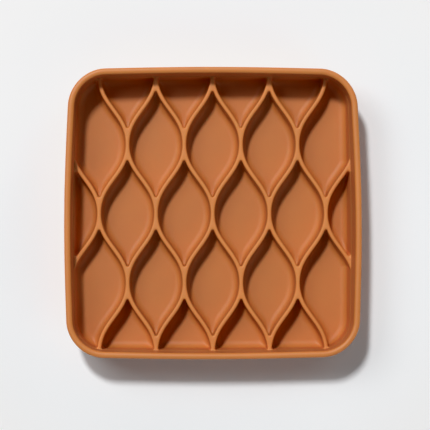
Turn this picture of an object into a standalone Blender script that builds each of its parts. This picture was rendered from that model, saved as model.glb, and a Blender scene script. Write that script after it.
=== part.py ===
"""Slow feeder bowl: a soft square tray with a lift-out maze insert, on four suction feet.

Units are metres in the scene; the dimensions below are millimetres. +Z is up, the
origin is the middle of the footprint on the resting surface, +X is the bowl's right.
"""

import math

import bmesh
import bpy
import numpy as np

MM = 0.001

# ---- overall size (mm) -------------------------------------------------------------
HEIGHT = 36.0            # resting surface to the top of the rim
RIM_HALF_X = 99.75       # rim half size at the corners, before the sides bow
RIM_HALF_Y = 99.2
RIM_CORNER_R = 25.2      # outer corner radius at the rim
BOW_X = 2.95             # how far the left and right rims bow outward
BOW_Y = 1.7              # how far the front and back rims bow outward
FLARE = 0.8              # how much wider the rim stands at the front corners, and narrower at the back ones
RIM_THICK = 4.4          # rim and wall thickness at the top
RIM_CROWN = 1.8          # height of the rim's domed top
RIM_DOME = 2.4           # superellipse exponent of the dome

# ---- outer tray (mm) ---------------------------------------------------------------
TRAY_UNDER = 1.5         # underside of the base
TRAY_FLOOR = 3.3         # top of the base, under the insert
INNER_DRAFT = 0.027      # inner wall slope, mm per mm of height
OUTER_DRAFT = 0.0500     # outer wall slope
INNER_FILLET = 4.0       # base to inner wall
OUTER_ROUND = 4.5        # base to outer wall

# ---- maze insert (mm) --------------------------------------------------------------
GAP = 0.3                # clearance between separate pieces
INSERT_UNDER = TRAY_FLOOR + GAP
CELL_FLOOR = 4.8         # floor of the cells
RIB_TOP = 20.8           # top of the ribs and of the skirt
SKIRT = 0.9              # skirt thickness at its top edge
PITCH = 39.47            # leaf to leaf across a row
ROW = 48.2               # row to row
RIB_THICK = 3.0          # rib thickness at its top
RIB_DRAFT = 0.026        # rib side slope
WAVE_FLAT = 0.035        # third harmonic that flattens the wave's crests
FLOOR_FILLET = 4.6       # rib to floor and skirt to floor
TIP_ROUND = 0.9          # rounding of the leaf tips

# ---- suction feet (mm) -------------------------------------------------------------
FOOT_POS = 70.0          # feet stand at (+-FOOT_POS, +-FOOT_POS)
CUP_R = 16.5             # lip radius
STEM_R = 3.0
HEAD_R = 5.0
COUNTERBORE_R = 5.6
COUNTERBORE_DEPTH = 1.0
FOOT_STEPS = 24

COLOUR = (0.565, 0.190, 0.040, 1.0)
COLOUR_INSERT = (0.565, 0.190, 0.040, 1.0)
COLOUR_FOOT = (0.500, 0.170, 0.034, 1.0)


# ---- plan outlines -----------------------------------------------------------------
def outline(half_x, half_y, radius, bow, n_side, n_corner):
    """Rounded square, counter-clockwise from the right side's lower end, its sides bowed outward by the fraction bow."""
    ix, iy = half_x - radius, half_y - radius
    pts = []
    corners = [(ix, iy, 0.0), (-ix, iy, 0.5 * math.pi), (-ix, -iy, math.pi), (ix, -iy, 1.5 * math.pi)]
    starts = [((half_x, -iy), (half_x, iy)), ((ix, half_y), (-ix, half_y)),
              ((-half_x, iy), (-half_x, -iy)), ((-ix, -half_y), (ix, -half_y))]
    for (a, b), (cx, cy, ang) in zip(starts, corners):
        for k in range(n_side):
            t = k / n_side
            pts.append((a[0] + (b[0] - a[0]) * t, a[1] + (b[1] - a[1]) * t))
        for k in range(n_corner):
            w = ang + 0.5 * math.pi * k / n_corner
            pts.append((cx + radius * math.cos(w), cy + radius * math.sin(w)))
    p = np.array(pts)
    # the same smooth swelling moves sides and corners, so no kink shows where they meet
    side_x = np.clip(p[:, 0] / half_x, -1, 1)
    side_y = np.clip(p[:, 1] / half_y, -1, 1)
    q = p.copy()
    q[:, 0] += bow * side_x * (BOW_X * (1 - side_y**2) * (1 - 0.5 * side_y**2) - FLARE * side_y)
    q[:, 1] += bow * BOW_Y * side_y * (1 - side_x**2) * (1 - 0.5 * side_x**2)
    return q


def bow_at(z):
    return z / HEIGHT


def inner_wall(z, inset, n_side, n_corner):
    """Plan of the tray's inner wall at height z, moved inward by inset."""
    d = RIM_THICK + (HEIGHT - z) * INNER_DRAFT + inset
    return outline(RIM_HALF_X - d, RIM_HALF_Y - d, RIM_CORNER_R - d, bow_at(z), n_side, n_corner)


def outer_wall(z, inset, n_side, n_corner):
    d = (HEIGHT - z) * OUTER_DRAFT + inset
    return outline(RIM_HALF_X - d, RIM_HALF_Y - d, RIM_CORNER_R - d, bow_at(z), n_side, n_corner)


def rim_dome(t):
    """The rim's rounded top: how far in from the wall and how far below the crown, t from 0 at the wall to 1 at the crown."""
    a = 0.5 * math.pi * t
    p = 2.0 / RIM_DOME
    across = 1.0 if t == 1 else 1 - math.cos(a) ** p
    return 0.5 * RIM_THICK * across, RIM_CROWN * (1 - math.sin(a) ** p)


# ---- rib lattice -------------------------------------------------------------------
def wave(theta):
    return (np.cos(theta) - WAVE_FLAT * np.cos(3 * theta)) / (1 - WAVE_FLAT)


def strip(i, y0, y1, n=160):
    """Centreline of rib i (0 to 9 from the left), from y0 to y1, and its unit normals to the right of travel."""
    y = np.linspace(y0, y1, n)
    mid = (i + 0.5 - 5.0) * PITCH / 2
    sign = 1.0 if i % 2 == 0 else -1.0
    x = mid + sign * (PITCH / 4) * wave(math.pi * y / ROW)
    p = np.stack([x, y], axis=1)
    t = np.gradient(p, axis=0)
    t /= np.linalg.norm(t, axis=1)[:, None]
    return p, np.stack([t[:, 1], -t[:, 0]], axis=1)


def rib_side(i, y0, y1, depth, inset):
    """A rib's face, travelled so that its cell lies on the left, at a depth below the rib tops."""
    p, right = strip(i, y0, y1)
    return p - right * (RIB_THICK / 2 + depth * RIB_DRAFT + inset)


def wall_side(first, count, z, inset):
    """A run of the skirt's inner face: the outline is 4 sides of 48 and 4 corners of 24 points."""
    full = inner_wall(z, GAP + SKIRT + inset, 48, 24)
    k = np.arange(first, first + count + 1) % len(full)
    return full[k]


def crossing(a, b):
    """Where two polylines cross, as positions along each."""
    p, r = a[:-1, None, :], (a[1:] - a[:-1])[:, None, :]
    q, s = b[None, :-1, :], (b[1:] - b[:-1])[None, :, :]
    den = r[..., 0] * s[..., 1] - r[..., 1] * s[..., 0]
    den = np.where(np.abs(den) < 1e-12, 1e-12, den)
    d = q - p
    t = (d[..., 0] * s[..., 1] - d[..., 1] * s[..., 0]) / den
    u = (d[..., 0] * r[..., 1] - d[..., 1] * r[..., 0]) / den
    hit = np.argwhere((t >= 0) & (t < 1) & (u >= 0) & (u < 1))
    # of several crossings, the corner is the one late on the first line and early on the second
    i, j = hit[np.argmax(hit[:, 0] / len(a) - hit[:, 1] / len(b))]
    return i + t[i, j], j + u[i, j]


def along(line, pos):
    pos = np.clip(pos, 0, len(line) - 1.000001)
    k = np.floor(pos).astype(int)
    f = (pos - k)[:, None]
    return line[k] * (1 - f) + line[k + 1] * f


def cell_ring(sides, z, inset, round_r, n_arc):
    """One loop of a cell at height z: its sides moved inward by inset, its corners rounded."""
    depth = RIB_TOP - z
    near = [f(depth, z, inset) for f, _ in sides]
    far = [f(depth, z, inset + round_r) for f, _ in sides]
    m = len(sides)
    start, end, centre = [0.0] * m, [0.0] * m, [None] * m
    for k in range(m):
        a, b = crossing(far[k], far[(k + 1) % m])
        end[k], start[(k + 1) % m] = a, b
        centre[k] = along(far[k], np.array([a]))[0]
    pts = []
    for k in range(m):
        n = sides[k][1]
        pts.extend(along(near[k], np.linspace(start[k], end[k], n + 1)))
        a = pts[-1] - centre[k]
        b = along(near[(k + 1) % m], np.array([start[(k + 1) % m]]))[0] - centre[k]
        wa = math.atan2(a[1], a[0])
        turn = (math.atan2(b[1], b[0]) - wa) % (2 * math.pi)
        for j in range(1, n_arc):
            w = wa + turn * j / n_arc
            pts.append(centre[k] + round_r * np.array([math.cos(w), math.sin(w)]))
    return np.array(pts)


def cell_sides(n_long, n_short, n_wall):
    """Every cell of the maze as its bounding sides, counter-clockwise: name, [(side function, points)]."""
    def rib(i, y0, y1, n):
        return (lambda depth, z, inset: rib_side(i, y0, y1, depth, inset), n)

    def wall(first, count, n):
        return (lambda depth, z, inset: wall_side(first, count, z, inset), n)

    cells = []
    edge = 2 * ROW + 2.0
    # whole leaves, in three rows
    for i in (1, 3, 5, 7):
        cells.append((f"leaf_mid_{i}", [rib(i + 1, -ROW, ROW, n_long), rib(i, ROW, -ROW, n_long)]))
    for i in (2, 4, 6):
        cells.append((f"leaf_back_{i}", [rib(i + 1, 0, 2 * ROW, n_long), rib(i, 2 * ROW, 0, n_long)]))
        cells.append((f"leaf_front_{i}", [rib(i + 1, -2 * ROW, 0, n_long), rib(i, 0, -2 * ROW, n_long)]))
    # half leaves along the back and front walls
    for i in (1, 3, 5, 7):
        cells.append((f"half_back_{i}", [rib(i + 1, ROW, edge, n_short), wall(60, 72, n_wall), rib(i, edge, ROW, n_short)]))
        cells.append((f"half_front_{i}", [rib(i, -ROW, -edge, n_short), wall(204, 72, n_wall), rib(i + 1, -edge, -ROW, n_short)]))
    # half leaves along the left and right walls
    cells.append(("half_left", [rib(0, -ROW, ROW, n_long), wall(144, 48, n_wall + 4)]))
    cells.append(("half_right", [rib(9, ROW, -ROW, n_long), wall(0, 48, n_wall + 4)]))
    # large open cells in the corners
    cells.append(("corner_back_left", [rib(1, 0, edge, n_long), wall(96, 72, n_long), rib(0, ROW, 0, n_short)]))
    cells.append(("corner_front_left", [rib(0, 0, -ROW, n_short), wall(168, 72, n_long), rib(1, -edge, 0, n_long)]))
    cells.append(("corner_back_right", [rib(9, 0, ROW, n_short), wall(24, 72, n_long), rib(8, edge, 0, n_long)]))
    cells.append(("corner_front_right", [rib(8, 0, -edge, n_long), wall(240, 72, n_long), rib(9, -ROW, 0, n_short)]))
    return cells


# ---- mesh helpers ------------------------------------------------------------------
def loft(bm, rings, cap_first=True, cap_last=True):
    """Skin a stack of equal-length closed loops given as [(plan points, z)], first loop at the bottom for outward faces."""
    loops = []
    for plan, z in rings:
        loops.append([bm.verts.new((x * MM, y * MM, z * MM)) for x, y in plan])
    n = len(loops[0])
    for low, high in zip(loops, loops[1:]):
        for k in range(n):
            bm.faces.new((low[k], low[(k + 1) % n], high[(k + 1) % n], high[k]))
    if cap_first:
        bm.faces.new(list(reversed(loops[0])))
    if cap_last:
        bm.faces.new(loops[-1])
    return loops


def new_object(name, bm, collection, material=None):
    mesh = bpy.data.meshes.new(name)
    bm.to_mesh(mesh)
    bm.free()
    obj = bpy.data.objects.new(name, mesh)
    collection.objects.link(obj)
    if material:
        mesh.materials.append(material)
    return obj


def smooth(obj, degrees=35.0):
    obj.data.shade_smooth()
    obj.data.set_sharp_from_angle(angle=math.radians(degrees))


def material(name, colour, roughness):
    m = bpy.data.materials.new(name)
    m.use_nodes = True
    b = m.node_tree.nodes["Principled BSDF"]
    b.inputs["Base Color"].default_value = colour
    b.inputs["Roughness"].default_value = roughness
    b.inputs["Metallic"].default_value = 0.0
    return m


def cut(obj, cutter, name):
    mod = obj.modifiers.new(name, "BOOLEAN")
    mod.operation = "DIFFERENCE"
    mod.solver = "EXACT"
    mod.object = cutter


# ---- pieces ------------------------------------------------------------------------
def make_tray(parts, cutters):
    """Base, walls and rounded rim as one skin, from the middle of the underside round to the inner floor."""
    ns, nc = 16, 6
    rings = []
    # underside, rounded up into the outer wall
    for k in range(4):
        a = 0.5 * math.pi * k / 3
        z = TRAY_UNDER + OUTER_ROUND * (1 - math.cos(a))
        rings.append((outer_wall(z, OUTER_ROUND * (1 - math.sin(a)), ns, nc), z))
    # rim, domed over from outside to inside
    for t in (0, 0.085, 0.25, 0.5, 0.75, 1):
        inset, drop = rim_dome(t)
        rings.append((outer_wall(HEIGHT - drop, inset, ns, nc), HEIGHT - drop))
    for t in (0.75, 0.5, 0.25, 0):
        inset, drop = rim_dome(t)
        rings.append((inner_wall(HEIGHT - drop, -inset, ns, nc), HEIGHT - drop))
    # inner wall, rounded down into the base
    for k in range(4):
        a = 0.5 * math.pi * k / 3
        z = TRAY_FLOOR + INNER_FILLET * (1 - math.sin(a))
        rings.append((inner_wall(z, INNER_FILLET * (1 - math.cos(a)), ns, nc), z))
    bm = bmesh.new()
    loft(bm, rings)
    bmesh.ops.recalc_face_normals(bm, faces=bm.faces)
    tray = new_object("outer_tray", bm, parts, material("silicone_tray", COLOUR, 0.62))

    # stepped holes that the feet's stems snap through
    web = TRAY_FLOOR - COUNTERBORE_DEPTH
    bm = bmesh.new()
    turn = [2 * math.pi * k / FOOT_STEPS for k in range(FOOT_STEPS)]
    for sx in (-1, 1):
        for sy in (-1, 1):
            rings = []
            for r, z in ((STEM_R + GAP, TRAY_UNDER - 1.0), (STEM_R + GAP, web), (COUNTERBORE_R, web), (COUNTERBORE_R, TRAY_FLOOR + 1.0)):
                rings.append(([(sx * FOOT_POS + r * math.cos(w), sy * FOOT_POS + r * math.sin(w)) for w in turn], z))
            loft(bm, rings)
    bores = new_object("foot_bores", bm, cutters)
    bores.hide_render = True
    bores.display_type = "WIRE"
    cut(tray, bores, "foot_bores")
    smooth(tray)
    return tray


def make_insert(parts, cutters, carrier):
    """A waffle block that fits the tray, with 24 drafted, round-bottomed cells cut from the top."""
    ns, nc = 6, 5
    fit = INNER_FILLET - GAP
    rings = []
    for k in range(3):
        a = 0.5 * math.pi * k / 2
        z = INSERT_UNDER + fit * (1 - math.cos(a))
        rings.append((inner_wall(z, GAP + fit * (1 - math.sin(a)), ns, nc), z))
    rings.append((inner_wall(RIB_TOP, GAP, ns, nc), RIB_TOP))
    bm = bmesh.new()
    loft(bm, rings)
    bmesh.ops.recalc_face_normals(bm, faces=bm.faces)
    insert = new_object("maze_insert", bm, parts, material("silicone_insert", COLOUR_INSERT, 0.62))

    bm = bmesh.new()
    for _, sides in cell_sides(10, 6, 5):
        rings = []
        for k in range(3):
            a = 0.5 * math.pi * (1 - k / 2)
            z = CELL_FLOOR + FLOOR_FILLET * (1 - math.sin(a))
            rings.append((cell_ring(sides, z, FLOOR_FILLET * (1 - math.cos(a)), TIP_ROUND, 2), z))
        top = cell_ring(sides, RIB_TOP, 0.0, TIP_ROUND, 2)
        rings.append((top, RIB_TOP))
        rings.append((top, RIB_TOP + 2.0))
        loft(bm, rings)
    bmesh.ops.recalc_face_normals(bm, faces=bm.faces)
    cells = new_object("maze_cells", bm, cutters)
    cells.hide_render = True
    cells.display_type = "WIRE"
    cut(insert, cells, "maze_cells")
    smooth(insert)
    insert.parent = carrier
    return insert


def make_foot(parts, name, x, y, mat):
    """A low suction cup with a stem and a mushroom head, turned from one profile."""
    web = TRAY_FLOOR - COUNTERBORE_DEPTH
    cup_top = TRAY_UNDER - GAP
    head_low = web + GAP
    head_top = TRAY_FLOOR - 0.1
    profile = [
        (0.0, head_top), (HEAD_R - 0.5, head_top), (HEAD_R, head_top - 0.3), (HEAD_R, head_low),
        (STEM_R, head_low), (STEM_R, cup_top), (9.0, cup_top), (13.0, cup_top - 0.25), (CUP_R - 0.4, 0.55),
        (CUP_R, 0.3), (CUP_R, 0.0), (CUP_R - 1.6, 0.0), (12.0, 0.4), (7.0, 0.6), (0.0, 0.7),
    ]
    bm = bmesh.new()
    verts = [bm.verts.new((r * MM, 0.0, z * MM)) for r, z in profile]
    for a, b in zip(verts, verts[1:]):
        bm.edges.new((a, b))
    foot = new_object(name, bm, parts, mat)
    screw = foot.modifiers.new("turn", "SCREW")
    screw.axis = "Z"
    screw.angle = 2 * math.pi
    screw.steps = FOOT_STEPS
    screw.render_steps = FOOT_STEPS
    screw.use_merge_vertices = True
    screw.merge_threshold = 0.00001
    foot.location = (x * MM, y * MM, 0.0)
    return foot


def main():
    for obj in list(bpy.data.objects):
        bpy.data.objects.remove(obj, do_unlink=True)
    parts = bpy.data.collections.new("slow_feeder_bowl")
    cutters = bpy.data.collections.new("cutters")
    bpy.context.scene.collection.children.link(parts)
    bpy.context.scene.collection.children.link(cutters)

    # the insert lifts straight up along this axis
    lift = bpy.data.objects.new("insert_lift_axis", None)
    parts.objects.link(lift)

    make_tray(parts, cutters)
    make_insert(parts, cutters, lift)
    foot_mat = material("silicone_foot", COLOUR_FOOT, 0.5)
    for name, sx, sy in (("front_left", -1, -1), ("front_right", 1, -1), ("rear_left", -1, 1), ("rear_right", 1, 1)):
        make_foot(parts, f"suction_foot_{name}", sx * FOOT_POS, sy * FOOT_POS, foot_mat)


main()
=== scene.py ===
"""Looks of the slow feeder bowl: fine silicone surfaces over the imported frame, a pale floor and soft studio light."""

import math

import bmesh
import bpy
import numpy as np
from mathutils import Matrix, Vector, geometry


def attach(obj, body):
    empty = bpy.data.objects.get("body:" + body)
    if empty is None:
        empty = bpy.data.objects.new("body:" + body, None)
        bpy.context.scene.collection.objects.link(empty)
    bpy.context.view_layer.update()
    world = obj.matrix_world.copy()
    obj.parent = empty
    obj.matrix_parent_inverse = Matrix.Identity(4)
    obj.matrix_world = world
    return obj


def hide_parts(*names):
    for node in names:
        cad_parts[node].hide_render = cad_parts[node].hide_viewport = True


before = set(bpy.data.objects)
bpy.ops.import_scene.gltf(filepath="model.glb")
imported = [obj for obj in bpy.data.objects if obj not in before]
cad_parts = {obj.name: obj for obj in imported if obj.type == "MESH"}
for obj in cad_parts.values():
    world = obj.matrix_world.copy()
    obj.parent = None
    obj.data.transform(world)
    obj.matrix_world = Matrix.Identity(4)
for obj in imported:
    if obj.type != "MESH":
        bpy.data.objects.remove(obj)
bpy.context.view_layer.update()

MM = 0.001

# ---- sizes in millimetres, the same as the solids' ---------------------------------
HEIGHT = 36.0
RIM_HALF_X = 99.75
RIM_HALF_Y = 99.2
RIM_CORNER_R = 25.2
BOW_X = 2.95
BOW_Y = 1.7
FLARE = 0.8            # the rim stands this much wider at the front than at the middle
RIM_THICK = 4.4
RIM_CROWN = 1.8          # height of the rim's domed top
RIM_DOME = 2.2           # superellipse exponent of the dome
TRAY_UNDER = 1.5
TRAY_FLOOR = 3.3
INNER_DRAFT = 0.027
OUTER_DRAFT = 0.0500
INNER_FILLET = 4.0
OUTER_ROUND = 4.5
SKIN = 0.03              # this skin lies just inside the coarser solid
GAP = 0.3
SEAT_GAP = 0.08          # the soft insert's skirt lies almost on the tray wall
INSERT_UNDER = TRAY_FLOOR + GAP
CELL_FLOOR = 4.8
RIB_TOP = 20.8
PITCH = 39.47
ROW = 48.2
RIB_THICK = 2.8          # the ribs' skin lies 0.1 inside the solid on each face
RIB_DRAFT = 0.026
RIB_EDGE = 1.15
WAVE_FLAT = 0.035
FLOOR_FILLET = 4.6
TIP_ROUND = 0.9
TIP_FILLET = 0.35        # part of the floor fillet left in the narrow leaf tips
TIP_NEAR, TIP_FAR = 11.0, 22.0
WALL_ROUND = 1.3
FOOT_POS = 70.0
CUP_R = 16.5
STEM_R = 3.0
HEAD_R = 5.0
COUNTERBORE_R = 5.6
COUNTERBORE_DEPTH = 1.0


# ---- plan outlines -----------------------------------------------------------------
def outline(half_x, half_y, radius, bow, n_side, n_corner):
    ix, iy = half_x - radius, half_y - radius
    pts = []
    corners = [(ix, iy, 0.0), (-ix, iy, 0.5 * math.pi), (-ix, -iy, math.pi), (ix, -iy, 1.5 * math.pi)]
    starts = [((half_x, -iy), (half_x, iy)), ((ix, half_y), (-ix, half_y)),
              ((-half_x, iy), (-half_x, -iy)), ((-ix, -half_y), (ix, -half_y))]
    for (a, b), (cx, cy, ang) in zip(starts, corners):
        for k in range(n_side):
            t = k / n_side
            pts.append((a[0] + (b[0] - a[0]) * t, a[1] + (b[1] - a[1]) * t))
        for k in range(n_corner):
            w = ang + 0.5 * math.pi * k / n_corner
            pts.append((cx + radius * math.cos(w), cy + radius * math.sin(w)))
    p = np.array(pts)
    side_x = np.clip(p[:, 0] / half_x, -1, 1)
    side_y = np.clip(p[:, 1] / half_y, -1, 1)
    q = p.copy()
    q[:, 0] += bow * side_x * (BOW_X * (1 - side_y**2) * (1 - 0.5 * side_y**2) - FLARE * side_y)
    q[:, 1] += bow * BOW_Y * side_y * (1 - side_x**2) * (1 - 0.5 * side_x**2)
    return q


def bow_at(z):
    return z / HEIGHT


def inner_wall(z, inset, n_side, n_corner):
    d = RIM_THICK + (HEIGHT - z) * INNER_DRAFT + inset
    return outline(RIM_HALF_X - d, RIM_HALF_Y - d, RIM_CORNER_R - d, bow_at(z), n_side, n_corner)


def outer_wall(z, inset, n_side, n_corner):
    d = (HEIGHT - z) * OUTER_DRAFT + inset
    return outline(RIM_HALF_X - d, RIM_HALF_Y - d, RIM_CORNER_R - d, bow_at(z), n_side, n_corner)


def rim_dome(t):
    """The rim's rounded top: how far in from the wall and how far below the crown, t from 0 at the wall to a right angle."""
    p = 2.0 / RIM_DOME
    return 0.5 * RIM_THICK * (1 - math.cos(t) ** p if t < 1.5707 else 1.0), RIM_CROWN * (1 - math.sin(t) ** p)


# ---- rib lattice -------------------------------------------------------------------
def wave(theta):
    return (np.cos(theta) - WAVE_FLAT * np.cos(3 * theta)) / (1 - WAVE_FLAT)


def strip(i, y0, y1, n=200):
    y = np.linspace(y0, y1, n)
    mid = (i + 0.5 - 5.0) * PITCH / 2
    sign = 1.0 if i % 2 == 0 else -1.0
    x = mid + sign * (PITCH / 4) * wave(math.pi * y / ROW)
    p = np.stack([x, y], axis=1)
    t = np.gradient(p, axis=0)
    t /= np.linalg.norm(t, axis=1)[:, None]
    return p, np.stack([t[:, 1], -t[:, 0]], axis=1)


def rib_side(i, y0, y1, tips, z, inset, extra):
    """A rib's face as x, y, z; its floor fillet tightens towards the leaf tips, whose y are given."""
    p, right = strip(i, y0, y1)
    keep = np.ones(len(p))
    for tip in tips:
        t = np.clip((np.abs(p[:, 1] - tip) - TIP_NEAR) / (TIP_FAR - TIP_NEAR), 0, 1)
        keep = np.minimum(keep, TIP_FILLET + (1 - TIP_FILLET) * t * t * (3 - 2 * t))
    foot, side = CELL_FLOOR + FLOOR_FILLET, RIB_TOP - RIB_EDGE
    if z <= foot:
        zz = CELL_FLOOR + (z - CELL_FLOOR) * keep
    elif z < side:
        zz = side - (side - z) * (side - CELL_FLOOR - FLOOR_FILLET * keep) / (side - foot)
    else:
        zz = np.full(len(p), z)
    off = RIB_THICK / 2 + (RIB_TOP - zz) * RIB_DRAFT + (inset * keep if inset > 0 else inset) + extra
    return np.column_stack([p - right * off[:, None], zz])


def skirt_thick(z):
    """The skirt thins to a feather edge at the rib tops, as moulded silicone does."""
    t = min(1.0, max(0.0, (RIB_TOP - z) / (RIB_TOP - CELL_FLOOR - FLOOR_FILLET)))
    return 0.10 + 0.30 * t


def wall_side(first, count, z, inset):
    full = inner_wall(z, SEAT_GAP + skirt_thick(z) + inset, 48, 24)
    k = np.arange(first, first + count + 1) % len(full)
    return np.column_stack([full[k], np.full(len(k), z)])


def crossing(a, b):
    a, b = a[:, :2], b[:, :2]
    p, r = a[:-1, None, :], (a[1:] - a[:-1])[:, None, :]
    q, s = b[None, :-1, :], (b[1:] - b[:-1])[None, :, :]
    den = r[..., 0] * s[..., 1] - r[..., 1] * s[..., 0]
    den = np.where(np.abs(den) < 1e-12, 1e-12, den)
    d = q - p
    t = (d[..., 0] * s[..., 1] - d[..., 1] * s[..., 0]) / den
    u = (d[..., 0] * r[..., 1] - d[..., 1] * r[..., 0]) / den
    hit = np.argwhere((t >= 0) & (t < 1) & (u >= 0) & (u < 1))
    i, j = hit[np.argmax(hit[:, 0] / len(a) - hit[:, 1] / len(b))]
    return i + t[i, j], j + u[i, j]


def along(line, pos):
    pos = np.clip(pos, 0, len(line) - 1.000001)
    k = np.floor(pos).astype(int)
    f = (pos - k)[:, None]
    return line[k] * (1 - f) + line[k + 1] * f


def cell_ring(sides, z, inset, tip_r, wall_r, n_arc):
    """One loop of a cell at height z: ribs moved inward by inset (outward onto the rib top if negative), corners rounded."""
    m = len(sides)
    eff = [max(inset, 0.0) if s[2] else inset for s in sides]
    near = [s[0](z, e, 0.0) for s, e in zip(sides, eff)]
    start, end, centre, radius = [0.0] * m, [0.0] * m, [None] * m, [0.0] * m
    for k in range(m):
        n = (k + 1) % m
        r = wall_r if (sides[k][2] or sides[n][2]) else tip_r
        fa = sides[k][0](z, eff[k], r)
        fb = sides[n][0](z, eff[n], r)
        a, b = crossing(fa, fb)
        end[k], start[n] = a, b
        centre[k], radius[k] = along(fa, np.array([a]))[0], r
    pts = []
    for k in range(m):
        n = sides[k][1]
        pts.extend(along(near[k], np.linspace(start[k], end[k], n + 1)))
        last = pts[-1]
        following = along(near[(k + 1) % m], np.array([start[(k + 1) % m]]))[0]
        a, b = last - centre[k], following - centre[k]
        wa = math.atan2(a[1], a[0])
        turn = (math.atan2(b[1], b[0]) - wa) % (2 * math.pi)
        for j in range(1, n_arc):
            t = j / n_arc
            w = wa + turn * t
            pts.append(np.array([centre[k][0] + radius[k] * math.cos(w), centre[k][1] + radius[k] * math.sin(w), last[2] + (following[2] - last[2]) * t]))
    return np.array(pts)


def cell_sides(n_long, n_short, n_wall):
    def rib(i, y0, y1, n, *tips):
        return (lambda z, inset, extra: rib_side(i, y0, y1, tips, z, inset, extra), n, False)

    def wall(first, count, n):
        return (lambda z, inset, extra: wall_side(first, count, z, inset + extra), n, True)

    cells = []
    edge = 2 * ROW + 2.0
    for i in (1, 3, 5, 7):
        cells.append([rib(i + 1, -ROW, ROW, n_long, -ROW, ROW), rib(i, ROW, -ROW, n_long, -ROW, ROW)])
    for i in (2, 4, 6):
        cells.append([rib(i + 1, 0, 2 * ROW, n_long, 0, 2 * ROW), rib(i, 2 * ROW, 0, n_long, 0, 2 * ROW)])
        cells.append([rib(i + 1, -2 * ROW, 0, n_long, -2 * ROW, 0), rib(i, 0, -2 * ROW, n_long, -2 * ROW, 0)])
    for i in (1, 3, 5, 7):
        cells.append([rib(i + 1, ROW, edge, n_short, ROW), wall(60, 72, n_wall), rib(i, edge, ROW, n_short, ROW)])
        cells.append([rib(i, -ROW, -edge, n_short, -ROW), wall(204, 72, n_wall), rib(i + 1, -edge, -ROW, n_short, -ROW)])
    cells.append([rib(0, -ROW, ROW, n_long), wall(144, 48, n_long)])
    cells.append([rib(9, ROW, -ROW, n_long), wall(0, 48, n_long)])
    cells.append([rib(1, 0, edge, n_long, 0), wall(96, 72, n_long), rib(0, ROW, 0, n_short, 0)])
    cells.append([rib(0, 0, -ROW, n_short, 0), wall(168, 72, n_long), rib(1, -edge, 0, n_long, 0)])
    cells.append([rib(9, 0, ROW, n_short, 0), wall(24, 72, n_long), rib(8, edge, 0, n_long, 0)])
    cells.append([rib(8, 0, -edge, n_long, 0), wall(240, 72, n_long), rib(9, -ROW, 0, n_short, 0)])
    return cells


# ---- mesh helpers ------------------------------------------------------------------
class Skin:
    """Collects loops of points and the faces between them, in millimetres."""

    def __init__(self):
        self.verts, self.faces = [], []

    def loop(self, plan, z):
        first = len(self.verts)
        zz = np.full(len(plan), z) if np.isscalar(z) else z
        self.verts.extend((float(x), float(y), float(h)) for (x, y), h in zip(plan, zz))
        return list(range(first, len(self.verts)))

    def skin(self, low, high):
        n = len(low)
        self.faces.extend((low[k], low[(k + 1) % n], high[(k + 1) % n], high[k]) for k in range(n))

    def obj(self, name, degrees=45.0):
        mesh = bpy.data.meshes.new(name)
        mesh.from_pydata([(x * MM, y * MM, z * MM) for x, y, z in self.verts], [], self.faces)
        bm = bmesh.new()
        bm.from_mesh(mesh)
        bmesh.ops.recalc_face_normals(bm, faces=bm.faces)
        bm.to_mesh(mesh)
        bm.free()
        mesh.shade_smooth()
        mesh.set_sharp_from_angle(angle=math.radians(degrees))
        o = bpy.data.objects.new(name, mesh)
        bpy.context.scene.collection.objects.link(o)
        return o


def inside(poly, p):
    x, y = p[:, 0], p[:, 1]
    hit = np.zeros(len(p), bool)
    for (x1, y1), (x2, y2) in zip(poly, np.roll(poly, -1, axis=0)):
        if y1 == y2:
            continue
        c = (y1 > y) != (y2 > y)
        hit ^= c & (x < (x2 - x1) * (y - y1) / (y2 - y1) + x1)
    return hit


# ---- pieces ------------------------------------------------------------------------
def make_tray():
    ns, nc = 40, 22
    rings = []
    for k in range(9):
        a = 0.5 * math.pi * k / 8
        z = TRAY_UNDER + OUTER_ROUND * (1 - math.cos(a))
        rings.append((outer_wall(z, OUTER_ROUND * (1 - math.sin(a)) + SKIN, ns, nc), z))
    side = HEIGHT - RIM_CROWN
    for k in range(1, 8):
        z = TRAY_UNDER + OUTER_ROUND + (side - TRAY_UNDER - OUTER_ROUND) * k / 7
        rings.append((outer_wall(z, SKIN, ns, nc), z))
    for k in range(1, 13):
        inset, drop = rim_dome(0.5 * math.pi * k / 12)
        rings.append((outer_wall(HEIGHT - drop, inset + SKIN * (1 - k / 12), ns, nc), HEIGHT - drop))
    for k in range(11, -1, -1):
        inset, drop = rim_dome(0.5 * math.pi * k / 12)
        rings.append((inner_wall(HEIGHT - drop, -inset, ns, nc), HEIGHT - drop))
    for k in range(1, 8):
        z = side + (TRAY_FLOOR + INNER_FILLET - side) * k / 7
        rings.append((inner_wall(z, 0.0, ns, nc), z))
    for k in range(1, 7):
        a = 0.5 * math.pi * k / 6
        z = TRAY_FLOOR + INNER_FILLET * (1 - math.sin(a))
        rings.append((inner_wall(z, INNER_FILLET * (1 - math.cos(a)), ns, nc), z))
    s = Skin()
    loops = [s.loop(p, z) for p, z in rings]
    for low, high in zip(loops, loops[1:]):
        s.skin(low, high)
    s.faces.append(list(reversed(loops[0])))
    s.faces.append(loops[-1])
    return s.obj("tray_body")


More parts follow.
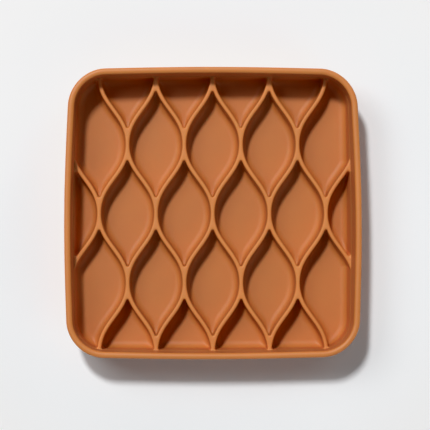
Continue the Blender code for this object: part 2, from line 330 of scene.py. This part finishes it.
def make_insert():
    s = Skin()
    n_arc = 8
    sides = cell_sides(36, 22, 20)
    tops = []
    prof = []
    for k in range(6):
        a = 0.5 * math.pi * k / 5
        prof.append((RIB_TOP - RIB_EDGE * (1 - math.cos(a)), -RIB_EDGE * (1 - math.sin(a))))
    z0, z1 = RIB_TOP - RIB_EDGE, CELL_FLOOR + FLOOR_FILLET
    for k in range(1, 4):
        prof.append((z0 + (z1 - z0) * k / 3, 0.0))
    for k in range(1, 10):
        a = 0.5 * math.pi * k / 9
        prof.append((CELL_FLOOR + FLOOR_FILLET * (1 - math.sin(a)), FLOOR_FILLET * (1 - math.cos(a))))
    prof.append((CELL_FLOOR, FLOOR_FILLET + 0.3))
    for c in sides:
        loops = []
        for z, e in prof:
            deep = min(1.0, max(0.0, e) / FLOOR_FILLET)
            tip = TIP_ROUND - min(e, 0.0) + 0.5 * deep
            ring = cell_ring(c, z, e, tip, WALL_ROUND, n_arc)
            loops.append(s.loop(ring[:, :2], ring[:, 2]))
        for high, low in zip(loops, loops[1:]):
            s.skin(high, low)
        s.faces.append(loops[-1])
        tops.append(loops[0])
    ns, nc = 44, 20
    fit = INNER_FILLET - GAP
    rings = [(inner_wall(RIB_TOP, SEAT_GAP, ns, nc), RIB_TOP)]
    for k in range(1, 5):
        z = RIB_TOP + (INSERT_UNDER + fit - RIB_TOP) * k / 4
        rings.append((inner_wall(z, SEAT_GAP + (GAP - SEAT_GAP) * k / 4, ns, nc), z))
    for k in range(1, 6):
        a = 0.5 * math.pi * k / 5
        z = INSERT_UNDER + fit * (1 - math.sin(a))
        rings.append((inner_wall(z, GAP + fit * (1 - math.cos(a)), ns, nc), z))
    loops = [s.loop(p, z) for p, z in rings]
    for a, b in zip(loops, loops[1:]):
        s.skin(a, b)
    s.faces.append(loops[-1])
    # flat tops of the ribs and skirt: everything between the outline and the cells
    flat = [loops[0]] + tops
    ids = [i for l in flat for i in l]
    co = np.array([s.verts[i][:2] for i in ids])
    edges, at = [], 0
    for l in flat:
        edges += [(at + k, at + (k + 1) % len(l)) for k in range(len(l))]
        at += len(l)
    _, _, tris, back, _, _ = geometry.delaunay_2d_cdt([Vector(p) for p in co], edges, [], 0, 1e-7)
    tri = np.array([[back[v][0] for v in t] for t in tris])
    mid = co[tri].mean(axis=1)
    keep = inside(rings[0][0], mid)
    for l in tops:
        keep &= ~inside(np.array([s.verts[i][:2] for i in l]), mid)
    s.faces.extend(tuple(ids[v] for v in t) for t in tri[keep])
    return s.obj("maze_body", 50.0)


def make_foot(name, x, y):
    web = TRAY_FLOOR - COUNTERBORE_DEPTH
    cup_top = TRAY_UNDER - GAP
    head_low = web + GAP
    head_top = TRAY_FLOOR - 0.1
    prof = [(0.0, head_top)]
    for k in range(7):
        a = 0.5 * math.pi * k / 6
        prof.append((HEAD_R - 0.4 + 0.4 * math.sin(a), head_top - 0.4 + 0.4 * math.cos(a)))
    prof += [(HEAD_R, head_low + 0.1), (HEAD_R - 0.1, head_low), (STEM_R, head_low), (STEM_R, cup_top), (8.5, cup_top)]
    for k in range(1, 11):
        t = k / 10
        prof.append((8.5 + (CUP_R - 0.3 - 8.5) * t, cup_top - (cup_top - 0.5) * t**2.2))
    for k in range(1, 6):
        a = math.pi * k / 6
        prof.append((CUP_R - 0.25 + 0.25 * math.sin(a), 0.25 + 0.25 * math.cos(a)))
    prof += [(CUP_R - 0.3, 0.0), (CUP_R - 1.6, 0.0)]
    for k in range(1, 11):
        t = k / 10
        prof.append(((CUP_R - 1.6) * (1 - t), 0.7 * (1 - (1 - t) ** 2.0) if t < 1 else 0.7))
    steps = 72
    s = Skin()
    rings = []
    for r, z in prof:
        if r == 0.0:
            rings.append([len(s.verts)])
            s.verts.append((x, y, z))
        else:
            w = [2 * math.pi * k / steps for k in range(steps)]
            rings.append(s.loop([(x + r * math.cos(a), y + r * math.sin(a)) for a in w], z))
    for a, b in zip(rings, rings[1:]):
        if len(a) == 1:
            s.faces.extend((a[0], b[k], b[(k + 1) % steps]) for k in range(steps))
        elif len(b) == 1:
            s.faces.extend((a[k], a[(k + 1) % steps], b[0]) for k in range(steps))
        else:
            s.skin(a, b)
    return s.obj(name, 40.0)


# ---- materials ---------------------------------------------------------------------
def silicone(name, colour, roughness, top, side, rise, shade, reach):
    """Matte moulded silicone with a painted highlight on its top edges and painted shade on its steep sides.

    top: the heights where the painted highlight begins and is palest, and its colour as a multiple. side: the heights
    where the painted shade starts, is full, begins to end and ends. rise: how much higher it starts near the outer
    wall. shade: that colour as a multiple, in the middle and near the outer wall. reach: one changes to the other
    between these two distances, measured along a rounded square.
    """
    m = bpy.data.materials.new(name)
    m.use_nodes = True
    nt = m.node_tree
    b = nt.nodes["Principled BSDF"]
    b.subsurface_method = "RANDOM_WALK"
    b.inputs["Subsurface Weight"].default_value = 0.15
    b.inputs["Subsurface Radius"].default_value = (1.0, 0.28, 0.10)
    b.inputs["Subsurface Scale"].default_value = 0.003
    tc = nt.nodes.new("ShaderNodeTexCoord")

    def noise(scale, detail, rough=0.5):
        n = nt.nodes.new("ShaderNodeTexNoise")
        n.inputs["Scale"].default_value = scale
        n.inputs["Detail"].default_value = detail
        n.inputs["Roughness"].default_value = rough
        nt.links.new(tc.outputs["Object"], n.inputs["Vector"])
        return n

    def ramp(src, stops):
        r = nt.nodes.new("ShaderNodeValToRGB")
        e = r.color_ramp.elements
        e[0].position, e[0].color = stops[0]
        e[1].position, e[1].color = stops[-1]
        for p, c in stops[1:-1]:
            x = e.new(p)
            x.color = c
        nt.links.new(src, r.inputs["Fac"])
        return r

    cloud = noise(22.0, 4.0)
    dark = tuple(c * 0.95 for c in colour)
    pale = tuple(min(1.0, c * 1.05) for c in colour)
    tint = ramp(cloud.outputs["Fac"], [(0.3, (*dark, 1)), (0.7, (*pale, 1))])

    def fade(src, lo, hi, to_lo, to_hi):
        n = nt.nodes.new("ShaderNodeMapRange")
        n.interpolation_type = "SMOOTHSTEP"
        for k, v in (("From Min", lo), ("From Max", hi), ("To Min", to_lo), ("To Max", to_hi)):
            n.inputs[k].default_value = v
        nt.links.new(src, n.inputs["Value"])
        return n.outputs["Result"]

    def calc(op, a, c):
        n = nt.nodes.new("ShaderNodeMath")
        n.operation = op
        for k, v in enumerate((a, c)):
            if isinstance(v, float):
                n.inputs[k].default_value = v
            else:
                nt.links.new(v, n.inputs[k])
        return n.outputs["Value"]

    xyz = nt.nodes.new("ShaderNodeSeparateXYZ")
    nt.links.new(tc.outputs["Object"], xyz.inputs["Vector"])
    eighth = [calc("POWER", calc("MULTIPLY", calc("MULTIPLY", xyz.outputs[k], xyz.outputs[k]), 100.0), 4.0) for k in "XY"]
    away = calc("POWER", calc("ADD", *eighth), 0.125)
    below = fade(xyz.outputs["Z"], side[2], side[3], 1.0, 0.0)

    def blend(kind, factor, a, c):
        n = nt.nodes.new("ShaderNodeMix")
        n.data_type = "RGBA"
        n.blend_type = kind
        nt.links.new(factor, n.inputs[0])
        for k, v in ((6, a), (7, c)):
            if isinstance(v, tuple):
                n.inputs[k].default_value = (*v, 1.0)
            else:
                nt.links.new(v, n.inputs[k])
        return n.outputs[2]

    # painted shade: steep sides darker between the given heights, with a separate tint near the outer wall
    deep = tint.outputs["Color"]
    for lift, near, part in ((0.0, (1.0, 0.0), shade[0]), (rise, (0.0, 1.0), shade[1])):
        painted_shade_mask = calc("MULTIPLY", fade(xyz.outputs["Z"], side[0] + lift, side[1] + lift, 0.0, 1.0), below)
        deep = blend("MULTIPLY", calc("MULTIPLY", painted_shade_mask, fade(away, *reach, *near)), deep, part)
    # painted highlight: the top edges are made paler, standing in for the highlight along rims and rib tops
    painted_highlight = blend("MULTIPLY", fade(xyz.outputs["Z"], top[0], top[1], 0.0, 1.0), deep, top[2])
    nt.links.new(painted_highlight, b.inputs["Base Color"])
    grain = noise(900.0, 2.0)
    rr = nt.nodes.new("ShaderNodeMapRange")
    rr.inputs["From Min"].default_value, rr.inputs["From Max"].default_value = 0.3, 0.7
    rr.inputs["To Min"].default_value, rr.inputs["To Max"].default_value = roughness - 0.04, roughness + 0.04
    nt.links.new(cloud.outputs["Fac"], rr.inputs["Value"])
    nt.links.new(rr.outputs["Result"], b.inputs["Roughness"])
    bump = nt.nodes.new("ShaderNodeBump")
    bump.inputs["Strength"].default_value = 0.12
    bump.inputs["Distance"].default_value = 0.0002
    nt.links.new(grain.outputs["Fac"], bump.inputs["Height"])
    nt.links.new(bump.outputs["Normal"], b.inputs["Normal"])
    return m


def paper(name):
    m = bpy.data.materials.new(name)
    m.use_nodes = True
    nt = m.node_tree
    b = nt.nodes["Principled BSDF"]
    tc = nt.nodes.new("ShaderNodeTexCoord")
    n = nt.nodes.new("ShaderNodeTexNoise")
    n.inputs["Scale"].default_value = 6.0
    n.inputs["Detail"].default_value = 3.0
    nt.links.new(tc.outputs["Object"], n.inputs["Vector"])
    r = nt.nodes.new("ShaderNodeValToRGB")
    r.color_ramp.elements[0].position, r.color_ramp.elements[0].color = 0.3, (0.94, 0.94, 0.94, 1)
    r.color_ramp.elements[1].position, r.color_ramp.elements[1].color = 0.7, (0.96, 0.96, 0.96, 1)
    nt.links.new(n.outputs["Fac"], r.inputs["Fac"])
    # a faint cool tint around the middle of the sheet, painted to cancel the orange light that the bowl bounces onto it
    far = nt.nodes.new("ShaderNodeVectorMath")
    far.operation = "LENGTH"
    nt.links.new(tc.outputs["Object"], far.inputs["Vector"])
    bounce_offset = nt.nodes.new("ShaderNodeValToRGB")
    bounce_offset.color_ramp.interpolation = "EASE"
    bounce_offset.color_ramp.elements[0].position, bounce_offset.color_ramp.elements[0].color = 0.14, (0.985, 1.015, 1.035, 1)
    bounce_offset.color_ramp.elements[1].position, bounce_offset.color_ramp.elements[1].color = 0.23, (1.0, 1.0, 1.0, 1)
    nt.links.new(far.outputs["Value"], bounce_offset.inputs["Fac"])
    both = nt.nodes.new("ShaderNodeVectorMath")
    both.operation = "MULTIPLY"
    nt.links.new(r.outputs["Color"], both.inputs[0])
    nt.links.new(bounce_offset.outputs["Color"], both.inputs[1])
    nt.links.new(both.outputs["Vector"], b.inputs["Base Color"])
    b.inputs["Roughness"].default_value = 0.9
    b.inputs["Specular IOR Level"].default_value = 0.1
    return m


SILICONE = (0.565, 0.187, 0.040)
# each silicone carries a painted highlight on its top edges and painted shade on its steep sides; the insert's redder
# tint near the outer wall is painted light standing in for light that shines through the thin wall
mat_tray = silicone("tray_silicone", SILICONE, 0.50, (0.0344, 0.0356, (1.12, 1.18, 1.22)), (0.0015, 0.004, 0.0335, 0.0348), 0.0,
                    ((0.93, 0.83, 1.04), (0.93, 0.82, 1.04)), (0.80, 1.00))
mat_insert = silicone("insert_silicone", SILICONE, 0.58, (0.0198, 0.0206, (1.18, 1.25, 1.32)), (0.0052, 0.0075, 0.0193, 0.0203), 0.002,
                      ((0.88, 0.79, 0.80), (1.02, 0.80, 0.92)), (0.89, 0.93))
mat_foot = silicone("foot_silicone", (0.50, 0.170, 0.034), 0.50, (0.0009, 0.0012, (1.06, 1.06, 1.06)), (0.0004, 0.0008, 0.0015, 0.0020), 0.0,
                    ((0.95, 0.93, 0.93), (0.94, 0.92, 0.92)), (0.80, 1.00))

tray = make_tray()
tray.data.materials.append(mat_tray)
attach(tray, "tray")
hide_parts("outer_tray")

maze = make_insert()
maze.data.materials.append(mat_insert)
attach(maze, "insert")
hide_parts("maze_insert")

for tag, sx, sy in (("front_left", -1, -1), ("front_right", 1, -1), ("rear_left", -1, 1), ("rear_right", 1, 1)):
    foot = make_foot(f"foot_cup_{tag}", sx * FOOT_POS, sy * FOOT_POS)
    foot.data.materials.append(mat_foot)
    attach(foot, "tray")
    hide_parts(f"suction_foot_{tag}")

# ---- stage -------------------------------------------------------------------------
bpy.ops.mesh.primitive_plane_add(size=6.0, location=(0, 0, 0))
floor = bpy.context.object
floor.name = "floor"
floor.data.materials.append(paper("floor_paper"))

# ---- light -------------------------------------------------------------------------
def card(name, azimuth, elevation, distance, wide, high, power):
    """A soft rectangular source aimed at the bowl, azimuth from +X towards +Y."""
    a, e = math.radians(azimuth), math.radians(elevation)
    away = Vector((math.cos(a) * math.cos(e), math.sin(a) * math.cos(e), math.sin(e)))
    data = bpy.data.lights.new(name, "AREA")
    data.shape = "RECTANGLE"
    data.size, data.size_y = wide, high
    data.energy = power
    o = bpy.data.objects.new(name, data)
    o.location = away * distance
    o.rotation_euler = (-away).to_track_quat("-Z", "Y").to_euler()
    bpy.context.scene.collection.objects.link(o)


KEY_AZ, KEY_EL = 117.1, 59.4
card("key", KEY_AZ, KEY_EL, 6.0, 0.56, 0.72, 236.0)
card("soft_rear_left", 145.0, 50.0, 2.2, 0.9, 0.9, 11.2)
card("fill_front", 270.0, 20.0, 2.5, 1.9, 1.0, 5.0)
card("fill_front_right", 315.0, 30.0, 2.5, 1.7, 1.0, 5.8)
card("fill_rear_right", 45.0, 17.0, 2.5, 1.9, 1.0, 7.8)

world = bpy.data.worlds.new("studio")
bpy.context.scene.world = world
world.use_nodes = True
bg = world.node_tree.nodes["Background"]
bg.inputs["Color"].default_value = (1.0, 1.0, 1.0, 1.0)
bg.inputs["Strength"].default_value = 0.065

# ---- camera ------------------------------------------------------------------------
PX = 0.6875                      # mm per picture element at the rim
CAM_ABOVE_RIM = 1387.0
NADIR = (155.0, 262.0)           # picture point straight below the camera
CENTRE = (213.35, 212.8)         # picture point of the bowl's middle at the rim


def at_rim(px, py):
    return Vector(((px - CENTRE[0]) * PX * MM, (CENTRE[1] - py) * PX * MM, HEIGHT * MM))


cam_data = bpy.data.cameras.new("camera")
cam = bpy.data.objects.new("camera", cam_data)
cam.location = at_rim(*NADIR) + Vector((0.0, 0.0, CAM_ABOVE_RIM * MM))
view = at_rim(215.0, 215.0) - cam.location
ahead = view.normalized()
right = ahead.cross(Vector((0.0, 1.0, 0.0))).normalized()
turn = Matrix((right, right.cross(ahead), -ahead)).transposed()
cam.rotation_euler = (turn @ Matrix.Rotation(-0.0018, 3, "Z")).to_euler()
cam_data.sensor_width = 36.0
cam_data.lens = 36.0 * view.length / (430.0 * PX * MM)
cam_data.clip_start, cam_data.clip_end = 0.05, 20.0
bpy.context.scene.collection.objects.link(cam)
bpy.context.scene.camera = cam

# plain display with a little black level and a soft shoulder in the whites
show = bpy.context.scene.view_settings
show.view_transform = "Standard"
show.use_curve_mapping = True
tone = show.curve_mapping
tone.black_level = (0.003, 0.003, 0.003)
line = tone.curves[3]
line.points[0].location = (0.0, 0.0)
line.points[1].location = (1.0, 0.915)
line.points.new(0.87, 0.87)
for pt in line.points:
    pt.handle_type = "VECTOR"
tone.update()
